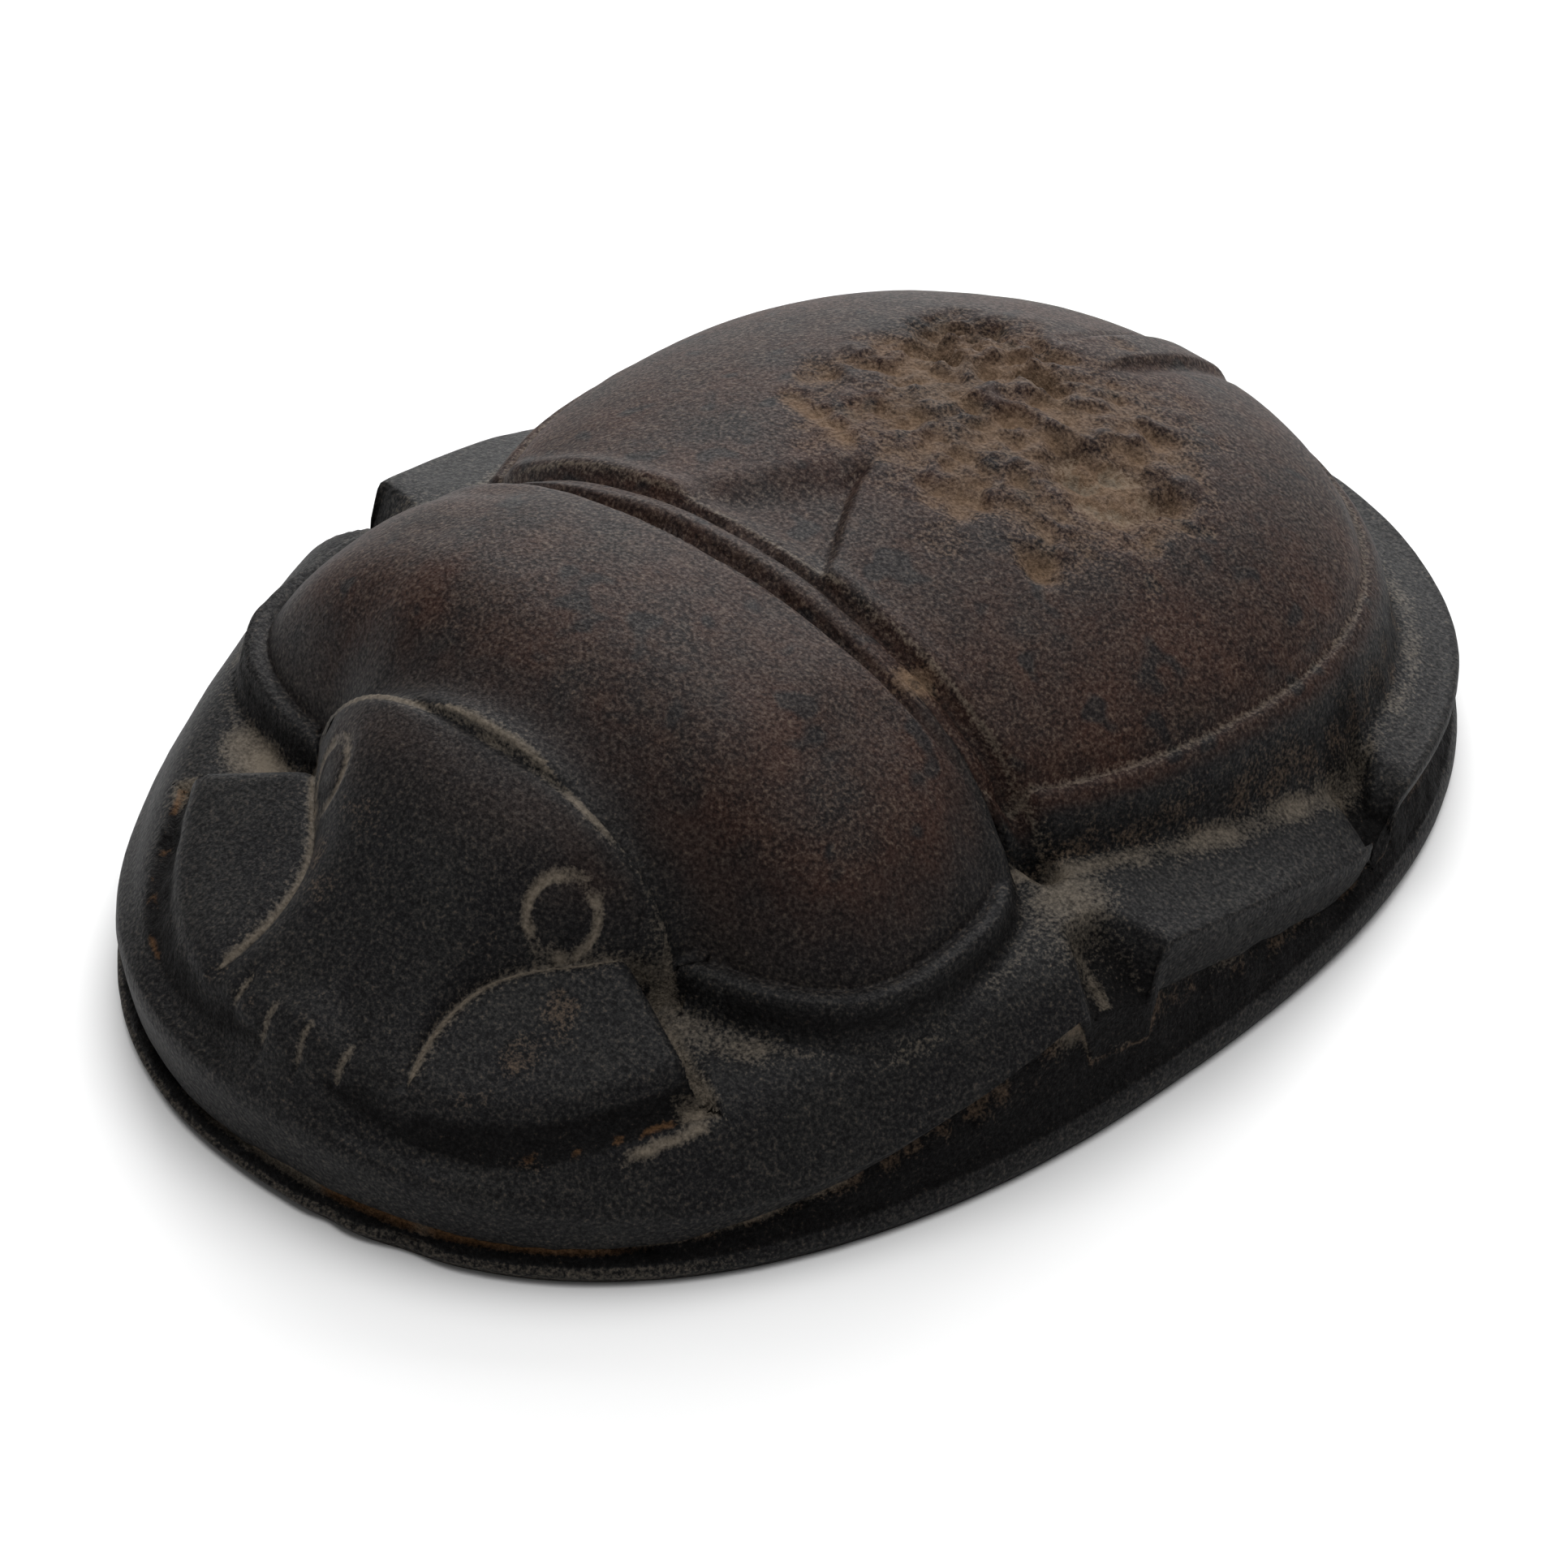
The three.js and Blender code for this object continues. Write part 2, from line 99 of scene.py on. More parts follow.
# [position, value] stations of the curves that shape the carving
SHELF_BY_BODY = [[-27, 6.0], [-19, 6.4], [-13, 7.1], [-4, 7.8], [-1, 7.7], [5, 6.7], [11, 5.8],
                 [18, 5.1], [25, 4.0]]
SHELF_AT_EDGE = [[-27, 4.1], [-24, 3.7], [-19, 3.3], [-13, 4.0], [-4.5, 6.0], [-1.4, 6.7], [1.3, 6.2],
                 [5, 5.3], [7.7, 4.4], [10.6, 3.6], [14, 4.5], [25, 3.0]]
SHELF_ROUNDING = [[-27, 5.0], [-22, 4.6], [-19, 4.0], [-13, 3.0], [-6, 3.0], [-2, 1.15], [12, 1.15],
                  [20, 1.8]]
LEG_UNDERSIDE = [[-27, 1.4], [-22, 1.5], [-18.6, 2.1], [-14.5, 3.0], [-10.5, 4.1], [-4.8, 5.4], [-1.4, 4.6],
                 [2.5, 3.7], [6.4, 2.8], [10.4, 2.1], [13, 3.4], [18, 2.8], [25, 2.0]]
LEG_BULGE = [[-27, 1.0], [-20, 0.998], [-12, 0.988], [-1, 0.984], [8, 0.987], [14, 0.996], [25, 1.0]]
SLAB_TOP = [[-27, 0.7], [-20, 0.9], [-8, 1.35], [10, 1.35], [27, 1.2]]
PRONOTUM_RIM = [[-16, 7.0], [-9, 7.9], [-3, 8.7]]
ELYTRA_CREST = [[-3, 15.0], [2, 15.05], [8, 14.75], [14, 13.7], [19, 11.6], [22.5, 9.1], [24.2, 6.5]]
ELYTRA_RIM = [[-3, 9.3], [2, 8.9], [8, 8.1], [14, 7.3], [25, 5.6]]
HEAD_CREST = [[-26, 6.4], [-24.6, 7.25], [-22.5, 9.0], [-20, 11.4], [-17.5, 13.3], [-15.2, 14.1]]
HEAD_HALF_WIDTH = [[-26, 5.0], [-25.1, 4.7], [-24, 4.25], [-22.5, 4.0], [-21, 4.15], [-19.5, 4.9],
                   [-17.9, 6.4], [-15.4, 8.6]]
CHEEK_EDGE_RHO = [[-25.1, 0.95], [-23, 0.927], [-21.4, 0.91], [-19.8, 0.893], [-18.3, 0.88]]


# ---------------------------------------------------------------- the stage
LAMPS = (  # name, place and size in metres, share of the key light's power
    ("back softbox", (-0.45, 0.65, 0.4), 0.7, 0.65),
    ("overhead softbox", (0.0, 0.15, 1.2), 1.5, 1.55),
)
SKY = 0.16  # strength of the even light from all round
FLOOR_SIZE = 6.0
FOCAL_LENGTH, SENSOR_WIDTH = 315.98, 36.0
AIM = (-1.087, 1.089, 1.240)  # the point that the camera looks at, in the carving's millimetres


# ---------------------------------------------------------------- curves and blends
def mix(a, b, share):
    """a where share is 0, b where it is 1, and the straight blend between."""
    return a + (b - a) * share


def ramp(low, high, at):
    """0 below low, 1 above high, and an eased rise (3t^2 - 2t^3) between."""
    t = np.clip((at - low) / (high - low), 0, 1)
    return t * t * (3 - 2 * t)


def hump(at, middle, width):
    """A bell, 1 at the middle: e to the minus square of the distance over the width."""
    return np.exp(-(((at - middle) / width) ** 2))


def fade(distance, reach):
    """1 up to where the distance begins, and e to the minus distance over reach beyond."""
    return np.exp(-np.clip(distance, 0, 9) / reach)


def smooth_max(a, b, width):
    """The larger of two, with their crease filled over the width."""
    share = np.clip(0.5 + 0.5 * (a - b) / width, 0, 1)
    return mix(b, a, share) + width * share * (1 - share)


def signed_power(value, power):
    """The power of the size of value, with its sign kept."""
    return np.sign(value) * np.abs(value) ** power


def through(stations, at):
    """A cubic through each pair of stations, whose slope at a station is that between its neighbours."""
    place, value = np.array(stations, float).T
    ends = np.arange(len(place))
    before, after = np.maximum(ends - 1, 0), np.minimum(ends + 1, len(place) - 1)
    slope = (value[after] - value[before]) / (place[after] - place[before])
    i = np.clip(np.searchsorted(place, at) - 1, 0, len(place) - 2)
    span, rise = place[i + 1] - place[i], value[i + 1] - value[i]
    t = np.clip((at - place[i]) / span, 0, 1)
    pulls = (1 - t) * (slope[i] * span - rise) + t * (rise - slope[i + 1] * span)
    return mix(value[i], value[i + 1], t) + t * (1 - t) * pulls


def uneven(x, y, z, size, seed, octaves=3):
    """Value noise from -1 to 1: random heights on a cubic lattice `size` apart, eased from node to node,
    with each octave half the size and half the height of the one before."""
    table = np.random.RandomState(seed).uniform(-1, 1, 4096)
    total, weight = 0.0, 0.0
    for octave in range(octaves):
        scale = 2.0**octave / size
        floors = [np.floor(c * scale) for c in (x, y, z)]
        part = [c * scale - low for c, low in zip((x, y, z), floors)]
        cell = [low.astype(int) for low in floors]
        ease = [p * p * (3 - 2 * p) for p in part]
        height = 0.0
        for corner in range(8):
            step = [(corner >> axis) & 1 for axis in range(3)]
            hashed = sum((c + s) * prime for c, s, prime in zip(cell, step, (73, 1327, 2851))) + octave * 977
            share = np.prod([e if s else 1 - e for e, s in zip(ease, step)], axis=0)
            height = height + table[hashed % 4096] * share
        total, weight = total + height / 2**octave, weight + 1 / 2**octave
    return total / weight


# ---------------------------------------------------------------- the egg-shaped outline
def half_width(y):
    """The outline's half width, a little fuller to the tail: W/2 (1 + 0.041 s + 0.013 s^2), with s the
    share of the half length."""
    s = y / (LENGTH / 2)
    return WIDTH / 2 * (1 + 0.041 * s + 0.013 * s * s)


def rho_at(x, y):
    """How far out a point lies, 0 in the middle and 1 on the outline: the superellipse radius."""
    across = np.abs(x / half_width(y)) ** OVAL_POWER
    return (across + np.abs(y / (LENGTH / 2)) ** OVAL_POWER) ** (1 / OVAL_POWER)


def oval_point(circle_x, circle_y, rho):
    """The point of the superellipse of radius rho in the direction of a point on the unit circle."""
    y = rho * LENGTH / 2 * signed_power(circle_y, 2 / OVAL_POWER)
    return rho * half_width(y) * signed_power(circle_x, 2 / OVAL_POWER), y


# ---------------------------------------------------------------- the carved forms, as heights over the plan
def leg_presence(y_out, rho):
    """1 where a leg is, 0 in the gaps between legs, by how far out the point is and the y of the outline
    beside it. The foreleg ends in a steep cut, the middle leg in a slanting facet before and a rounded
    tip behind, and the hind leg begins with a rounded nose that stands further back beside the body."""
    fore = 1 - np.clip((y_out + 4.5 + 7 * (rho - 0.863)) / 0.4, 0, 1)
    facet = np.clip((y_out + 3.1 - 9 * (rho - 0.85)) / 0.9, 0, 1)
    tip = np.clip((y_out - 9.8 - 14 * (LEG_EDGE_RHO - rho)) / 1.6, 0, 1)
    nose = np.clip((y_out - 13.0 - 42 * np.clip(0.94 - rho, 0, 0.12)) / 1.7, 0, 1)
    middle = np.minimum(facet, np.sqrt(1 - tip**2))
    return np.maximum(np.maximum(fore, middle), np.sqrt(1 - (1 - nose) ** 2))


def legs_height(x, y, rho, y_out):
    """The legs' tops, falling from the body's foot to the edge by a power of how far out they are, and the
    sloping floors of the gaps between them. Gives the tops, the carved height and the share of gap."""
    out = np.clip((rho - 0.8) / (LEG_EDGE_RHO - 0.8), 0, 1) ** through(SHELF_ROUNDING, y)
    top = mix(through(SHELF_BY_BODY, y), through(SHELF_AT_EDGE, y), out) + 2.6 * np.clip(0.8 - rho, 0, 1)
    start = np.where(y_out > 5, 0.82, 0.85)
    down = np.clip((rho - start) / (SEAM_RHO - start), 0, 1)
    floor = np.minimum(mix(top - 0.15, through(LEG_UNDERSIDE, y_out) - 0.3, down), top)
    gap = (1 - leg_presence(y_out, rho)) * np.clip((rho - start) / 0.012, 0, 1)
    return top, mix(top, floor, gap), gap


def dome_reach(dome, x, y):
    """0 on a dome's middle line and 1 on its border: across over its half width at that y."""
    along = np.where(y < dome["y"], (dome["y"] - y) / dome["front"], (y - dome["y"]) / dome["rear"])
    half = dome["half"] * np.clip(1 - np.abs(along) ** dome["power"], 0, 1) ** (1 / dome["power"])
    return np.abs(x) / np.maximum(half, 1e-3)


def pronotum_reach(x, y):
    """0 in the middle and 1 on the pronotum's border: a superellipse ahead of its widest line, and the
    reach across behind it."""
    power = PRONOTUM["power"]
    ahead = np.clip((PRONOTUM["y"] - y) / PRONOTUM["front"], 0, 9)
    round_front = (np.abs(x / PRONOTUM["half"]) ** power + ahead**power) ** (1 / power)
    return np.where(ahead > 0, round_front, dome_reach(PRONOTUM, x, y))


def elytra_reach(x, y):
    """0 in the middle of the wing cases and 1 on their border, as a superellipse all round."""
    along = np.where(y < ELYTRA["y"], (ELYTRA["y"] - y) / ELYTRA["front"], (y - ELYTRA["y"]) / ELYTRA["rear"])
    power = ELYTRA["power"]
    return (np.abs(x / ELYTRA["half"]) ** power + np.abs(along) ** power) ** (1 / power)


def slope_of(field, x, y):
    """The gradient of a field by central differences, and its size."""
    step = 0.02
    slope_x = (field(x + step, y) - field(x - step, y)) / (2 * step)
    slope_y = (field(x, y + step) - field(x, y - step)) / (2 * step)
    return slope_x, slope_y, np.maximum(np.hypot(slope_x, slope_y), 1e-3)


def in_pronotum(x, y):
    """Millimetres inside the pronotum's border: one minus reach over its slope."""
    return (1 - pronotum_reach(x, y)) / slope_of(pronotum_reach, x, y)[2]


def in_elytra(x, y):
    """Millimetres inside the wing cases' border."""
    return (1 - elytra_reach(x, y)) / slope_of(elytra_reach, x, y)[2]


def behind_front(x, y):
    """Millimetres behind the head's arched front edge."""
    return y - HEAD_FRONT_Y - HEAD_ARCH * x**2


def in_head(x, y):
    """Millimetres inside the border of the head's middle field, which is the nearest of its sides, its
    arched front and the neck."""
    side = through(HEAD_HALF_WIDTH, y) - np.abs(x)
    return np.minimum(np.minimum(side, behind_front(x, y)), NECK_Y - y)


def in_cheek(x, y):
    """Millimetres inside a cheek plate: from its curved outer edge and its straight rear edge."""
    mm_per_rho = 21
    outer = (np.interp(y, *zip(*CHEEK_EDGE_RHO)) - rho_at(x, y)) * mm_per_rho
    rear = -(y + 16.7 + 0.356 * (np.abs(x) - 7.6)) * 0.94
    return np.minimum(np.minimum(outer, rear), y - HEAD_FRONT_Y - 0.3)


def pronotum_height(x, y):
    """A pillow from rim to crest by (1 - reach^2.4)^0.56, set in by the width of the lip that runs round
    its front and sides as a half-round bead, and joined to the hump of the neck."""
    lip_width, bead_half = 0.8, 0.42
    lip = lip_width * ramp(6.5, 9.5, np.abs(x)) * ramp(-3.6, -5.5, y)
    crest = 15.9 - 0.03 * np.maximum(y + 8, 0) ** 2
    steep = slope_of(pronotum_reach, x, y)[2]
    reach = pronotum_reach(x, y)
    rim = through(PRONOTUM_RIM, y)
    inner = np.clip(reach + lip * steep, 0, 1)
    pillow = mix(rim - 0.2, crest, (1 - inner**2.4) ** 0.56)
    middle = (1 - reach) / steep - 0.4
    bead = rim + bead_half * np.sqrt(np.clip(1 - (middle / bead_half) ** 2, 0, 1))
    pillow = np.maximum(pillow, mix(pillow, bead, lip / lip_width))
    neck = mix(NECK_EDGE, NECK_CREST, (1 - np.clip(np.abs(x) / NECK_HALF, 0, 1) ** 2.2) ** 0.7)
    return smooth_max(pillow, neck, 2.6)


def elytra_height(x, y):
    """From rim to crest by (1 - across^2.15)^0.72."""
    across = np.clip(dome_reach(ELYTRA, x, y), 0, 1)
    return mix(through(ELYTRA_RIM, y), through(ELYTRA_CREST, y), (1 - across**2.15) ** 0.72)


def cheek_plane(x, y):
    """The cheeks' flat tops, tilted down outwards and forwards."""
    return 6.7 - 0.237 * (np.abs(x) - 4.5) + 0.397 * (y + 25.1)


def head_height(x, y):
    """From just under the cheeks' plane to the crest by (1 - across^2.6)^0.55."""
    across = np.clip(np.abs(x) / through(HEAD_HALF_WIDTH, y), 0, 1)
    edge = np.minimum(cheek_plane(x, np.minimum(y, -17.5)) - 0.4, through(HEAD_CREST, y) - 0.1)
    return mix(edge, through(HEAD_CREST, y), (1 - across**2.6) ** 0.55)


def raised(inside, height, below):
    """A raised form over what lies below: its own height inside its border, a steep cut wall outside."""
    return np.maximum(height - WALL_SLOPE * np.clip(-inside, 0, 9), below)


def gather(x, y, inside, depth, where, width=0.7, pull=0.62):
    """Draws grid points towards the line `depth` inside a border, so that a carved edge has its own fine
    cells: each moves along the slope of the field by its distance times pull times a bell of the given
    width."""
    slope_x, slope_y, steep = slope_of(inside, x, y)
    away = (inside(x, y) - depth) / steep
    off_seam = np.clip((SEAM_RHO - rho_at(x, y)) / 0.03, 0, 1)
    move = -away * pull * hump(away, 0, width) * off_seam * where(x, y)
    return x + move * slope_x / steep, y + move * slope_y / steep


def survey(x, y):
    """What the carving and the soil depend on over each point of the plan: how far out it lies, the y of
    the outline beside it, the millimetres inside each form's border, and unevenness of four sizes."""
    rho = rho_at(x, y)
    return SimpleNamespace(
        x=x, y=y, ax=np.abs(x), rho=rho, y_out=y / np.maximum(rho, 0.3), behind=y >= BAND_Y,
        cheek=in_cheek(x, y), head=in_head(x, y), pronotum=in_pronotum(x, y), elytra=in_elytra(x, y),
        blotch=uneven(x, y, 0 * x, 2.2, 21), crumbs=uneven(x, 1.6 * y, 0 * x, 1.9, 12, 5),
        grains=uneven(x, y, 0 * x, 0.7, 13, 2), ragged=1 + 0.45 * uneven(x, y, 0 * x, 2.6, 11, 4),
    )


def head_relief(at, z):
    """The cheeks' planes and the head's dome, raised from z. A plane rounds off by a fading dip towards
    its own edge and the head's, the dome towards its front edge, where four bells are notched in, and a
    bell-shaped ditch runs at their foot. Gives the height and the share of notch."""
    cheek = cheek_plane(at.x, at.y) - 0.3 * fade(at.cheek, 0.2)
    cheek = cheek - 0.35 * fade(-at.head, 0.3)
    z = raised(at.cheek, cheek, z)
    front = behind_front(at.x, at.y)
    head = head_height(at.x, at.y) - 0.25 * fade(front, 0.25)
    notch = sum(hump(at.x, FIRST_NOTCH + NOTCH_PITCH * number, NOTCH_HALF) for number in range(NOTCHES))
    notch = notch * ramp(1.2, 0.7, front) * ramp(-0.25, 0.0, front)
    head = head - NOTCH_DEPTH * notch
    soft = smooth_max(head - 2.5 * np.clip(-at.head, 0, 9), z, 0.2)
    z = np.where(at.head > -0.8, np.where(at.y < NECK_Y + 0.2, soft, raised(at.head, head, z)), z)
    return z - 0.3 * hump(np.maximum(at.cheek, at.head), -0.4, 0.22) * ramp(-16.2, -17.2, at.y), notch


def from_eye(at, z):
    """Millimetres from the middle of an eye, measured along the slope that it is drilled in."""
    rise = 0.8 * (z - head_height(*EYE))
    return np.sqrt((at.ax - EYE[0]) ** 2 + (at.y - EYE[1]) ** 2 + rise**2)


def back_relief(at, z):
    """The pronotum, the line where the head runs under it, and the wing cases: a dome that starts level
    with the pronotum and sinks to its own height over 5 mm, with a fine groove and a smooth flange over
    the cut wall."""
    inside = np.minimum(at.pronotum, (at.y - NECK_Y) * np.where(at.ax < NECK_HALF + 0.3, 1, 9))
    ahead = (at.y < BAND_Y) & (at.y > NECK_Y - 0.3)
    z = np.where(ahead, raised(inside, pronotum_height(at.x, at.y), z), z)
    z = z - 0.2 * hump(at.y, NECK_Y - 0.1, 0.2) * ramp(8.8, 7.8, at.ax)
    at_band = at.y * 0 + BAND_Y
    step = pronotum_height(at.x, at_band) - elytra_height(at.x, at_band)
    shoulder = np.clip(step, 0, 1.5) * ramp(13, 10.5, at.ax)
    cases = elytra_height(at.x, at.y) + 0.8 * shoulder * ramp(5, 0, at.y - BAND_Y)
    flange = 0.38 * hump(at.elytra, 0.95, 0.26)
    return np.where(at.behind, raised(at.elytra, cases - flange, z), z)


def band_relief(at):
    """A ridge and the wing cases' lip beside two bell-shaped grooves over the back, the rear one deeper
    and wider where it runs out into the waist. Gives the height to add, the band's reach and the share of
    groove."""
    end = ramp(10.5, 13.5, at.ax)
    reach = ramp(15.2, 14.2, at.ax)
    rear = hump(at.y, BAND_Y + GROOVE_OFFSET, 0.24 + 0.3 * end)
    front = hump(at.y, BAND_Y - GROOVE_OFFSET, 0.26) * ramp(13.9, 12.8, at.ax)
    ridges = 0.22 * hump(at.y, BAND_Y + 1.5, 0.45) + 0.14 * hump(at.y, BAND_Y, 0.35)
    return reach * (ridges - (0.45 + 0.8 * end) * rear - 0.55 * front), reach, np.maximum(rear, front)


def scutellum(at):
    """A sunk triangle whose half width falls by a power of the way to its tip, the right wing case
    sloping softly to it and the left one cut sharply. Gives the depth to take off, its share, and the
    distance beside it."""
    share = np.clip((at.y - SCUTELLUM["front"]) / SCUTELLUM["length"], 0, 1)
    beside = at.ax - SCUTELLUM["half"] * (1 - share) ** 1.3
    side = np.where(at.x < 0, ramp(1.5, -0.9, beside), ramp(0.3, -0.25, beside))
    sunk = side * ramp(-2.0, -1.4, at.y) * ramp(4.9, 3.6, at.y)
    cut = 0.22 * (at.x > 0) * hump(beside, 0.05, 0.3) * ramp(-1.5, 0.5, at.y) * ramp(4.6, 3.8, at.y)
    return SCUTELLUM["depth"] * sunk + cut, sunk, beside


def suture(at):
    """A low flat strip towards the tail with a shallow groove on both sides: the height to add."""
    strip = ramp(SUTURE["half"], 0.85, at.ax) * ramp(14.8, 17.5, at.y) * (at.elytra > 0)
    beside = 0.12 * hump(at.ax, 1.45, 0.3) * ramp(15.5, 18, at.y) * (at.elytra > 0.5)
    return SUTURE["proud"] * strip - beside


def broken_patch(at):
    """The broken patch on the wing cases: ragged ovals for a crumbled field, a deep hollow and a lesser
    one, a ledge between them and a scraped streak. Gives the depth to take off, the shares of tan stone
    and of pits, and the lesser hollow."""
    x, y = at.x, at.y
    field = ramp(1.25, 0.6, np.hypot((x - 1.6) / 7.2, (y - 10.4) / 6.4) * at.ragged)
    deep = ramp(1.1, 0.55, np.hypot((x + 1.9 + 0.25 * (y - 13.2)) / 4.3, (y - 13.5) / 2.6) * at.ragged)
    lesser = ramp(1.2, 0.4, np.hypot((x - 5.8) / 2.3, (y - 10.0) / 2.2) * at.ragged)
    ledge = hump(x + 0.5 - 0.3 * (y - 9.5), 0, 0.5) * ramp(6.5, 8, y) * ramp(14, 12, y)
    streak = hump(y - 5.2 + 0.2 * (x + 3.4), 0, 0.4) * ramp(-6, -5, x) * ramp(-0.6, -1.6, x)
    depth = field * (0.12 + 0.5 * np.clip(at.crumbs + 0.1, -0.1, 1) + 0.3 * at.grains)
    depth = depth + deep * (0.45 + 1.1 * np.clip(at.crumbs, -0.3, 1) + 0.35 * at.grains) + lesser * 0.3
    inside = (0.36 + 0.3 * at.crumbs + 0.35 * at.grains) * field**0.5 + 0.15 * deep + 0.5 * streak
    tan = np.maximum(np.clip(inside, 0, 1) * (1 - lesser), (0.66 + 0.3 * at.grains) * lesser)
    pits = (deep * ramp(0.05, 0.4, at.crumbs) + 0.5 * field * ramp(0.2, 0.5, at.crumbs)) * (1 - lesser)
    return depth - 0.2 * ledge * field + 0.15 * streak, tan, pits, lesser


def bare_stone(at, z, tan):
    """Where tan stone or its stain shows: the patch, worn crumbs on the wing cases' wall, a spot by the
    band and faint stains on the front."""
    wall_crumbs = ramp(-0.3, 0.3, uneven(at.x, at.y, z, 0.8, 25))
    tan = np.maximum(tan, 0.22 * at.behind * hump(at.elytra, -0.3, 0.35) * wall_crumbs)
    tan = np.maximum(tan, 0.9 * hump(np.hypot(at.x - 8.4, (at.y + 2.6) * 0.8), 0, 0.6))
    stains = ramp(0.15, 0.5, uneven(at.x, at.y, z, 2.4, 24))
    return np.maximum(tan, stains * (at.y < -19) * (0.2 * (at.x > -5) + 0.2 * (at.y < -24)))


def soil_and_highlight(at, low, gap, notch, eye, reach, sunk, beside, lesser):
    """The pale soil, and a painted highlight: at the foot of each form the soil is the strongest of several
    bells about a distance from the border, broken up by the blotches, and above them it lies in the fine
    grooves; a pale line on the cheeks' inner edges, beside the head, is painted highlight."""
    off_pronotum, off_elytra, off_cheek = -at.pronotum, -at.elytra, -np.maximum(at.cheek, at.head)
    trench = hump(off_pronotum, 1.0, 1.1) * ramp(-12.5, -15.0, at.y) * ramp(-19.5, -17.0, at.y)
    trench = trench * ramp(14.5, 12.0, at.ax)
    waist = hump(np.hypot(at.ax - 16.0, (at.y + 2.9) * 0.8), 0, 2.3)
    foot = hump(off_elytra, 0.9, 0.7) * (0.4 + 0.3 * hump(at.y, 3, 8))
    cheek_foot = hump(off_cheek, 0.95, 0.13) * (at.y < -18.5) * 0.75 * np.clip(0.6 + 1.5 * at.blotch, 0, 1)
    cheek_rear = hump(off_cheek, 0.55, 0.45) * ramp(-19.5, -18.5, at.y) * (at.y < -15.5)
    side_bow = hump(off_pronotum, 0.7, 0.4) * 0.35 * ramp(10, 12, at.ax)
    gap_end = 0.5 * gap * hump(at.y_out, -4.0, 0.4)
    dust_and_highlight = low * np.maximum.reduce([
        0.55 * trench * np.where(at.x < 0, 1.45, 1), 0.75 * cheek_rear, 0.5 * waist, foot, cheek_foot,
        side_bow, gap_end,
    ])
    neck_line = 0.75 * hump(at.y, NECK_Y - 0.1, 0.2) * (at.ax < 8.8) * np.clip(0.8 + at.blotch, 0, 1)
    # painted highlight: a pale line on the cheeks' inner edges where they meet the head
    head_line_highlight = 0.5 * hump(at.head, -0.15, 0.14) + 0.3 * hump(at.head, -0.3, 0.5)
    return np.maximum.reduce([
        dust_and_highlight * np.clip(0.85 + 0.7 * at.blotch, 0.1, 1.3),
        reach * 0.5 * hump(at.y, BAND_Y + 1.25, 0.2) * np.clip(0.9 + at.blotch, 0, 1),
        # a pale line along the wing cases' groove near its lower lip, and paler along the scutellum's sides
        0.45 * hump(at.elytra, 0.85, 0.2) * at.behind + 0.35 * sunk * hump(beside, 0.1, 0.5),
        0.85 * hump(eye, 1.27, 0.21),
        lesser * ramp(-0.3, 0.3, at.grains) * 0.6,
        neck_line,
        head_line_highlight * (at.cheek > 0.3),
        0.55 * hump(at.head, -0.1, 0.2) * (at.y < NECK_Y) * (at.y > -19),
        0.6 * notch * ramp(-0.1, 0.1, at.head),
    ])


def rusty_crust(at, notch):
    """The rusty deposit: faint in the notches, stronger in grains along the cheeks' foot."""
    foot = hump(-np.maximum(at.cheek, at.head), 0.55, 0.2) * (at.y < -18) * ramp(-0.2, 0.3, at.grains)
    return np.maximum(0.25 * notch * ramp(-0.1, 0.1, at.head), 0.8 * foot)


def rough_cuts_and_shade(at, gap, eye, pits, reach, groove):
    """Unpolished stone, its near-black colour also painted shade: the gaps between the legs, the cut walls,
    inside the eyes' rings, the pits of the broken patch and the bottoms of the band's grooves."""
    off_cheek = -np.maximum(at.cheek, at.head)
    head_walls = np.maximum(ramp(0, 0.12, off_cheek) * ramp(0.9, 0.6, off_cheek), 0.5 * hump(eye, 0.75, 0.25))
    back_walls = np.where(at.behind, 0.6 * hump(at.elytra, -0.25, 0.35), hump(at.pronotum, -0.15, 0.15))
    walls = np.where(at.y < NECK_Y, head_walls, back_walls)
    # painted shade: the bottoms of the band's grooves are darkened as crevices
    return np.maximum.reduce([gap, 0.9 * walls, 0.75 * pits, 0.6 * reach * groove**2])


def reddish(at):
    """The warm colour of the back, strong on the wing cases and pronotum and weaker on the head."""
    on_pronotum = ramp(0.0, 3.5, at.pronotum) * (at.y > NECK_Y)
    on_back = np.where(at.behind, ramp(0.05, 0.4, at.elytra), on_pronotum)
    return np.maximum(on_back, 0.5 * ramp(-20, -15.5, at.y) * ramp(-0.2, 1.5, at.head) * (at.y <= NECK_Y))


def upper_side(x, y):
    """The highest of the carved forms over a point of the plan, with the grooves and hollows cut into it, and
    the masks of what lies on it: dust with a painted highlight, crust, rough stone with painted shade, the
    reddish back and the broken patch."""
    at = survey(x, y)
    top, z, gap = legs_height(x, y, at.rho, at.y_out)
    gap = gap * ramp(0.84, 0.88, at.rho)
    z, notch = head_relief(at, z)
    eye = from_eye(at, z)
    z = z - EYE_RING_DEPTH * hump(eye, EYE_RING, EYE_RING_HALF) - 0.08 * ramp(EYE_RING, 1.0, eye)
    z = back_relief(at, z)
    band, reach, groove = band_relief(at)
    hollow, sunk, beside = scutellum(at)
    depth, tan, pits, lesser = broken_patch(at)
    z = z + band - hollow + suture(at) - depth
    low = ramp(0.5, 0.2, z - top) * (np.where(at.behind, -at.elytra, -at.pronotum) > 0.1)
    return z, {
        "dust_and_highlight": soil_and_highlight(at, low, gap, notch, eye, reach, sunk, beside, lesser),
        "crust": rusty_crust(at, notch),
        "rough_and_shade": rough_cuts_and_shade(at, gap, eye, pits, reach, groove),
        "red": reddish(at),
        "broken": bare_stone(at, z, tan),
    }


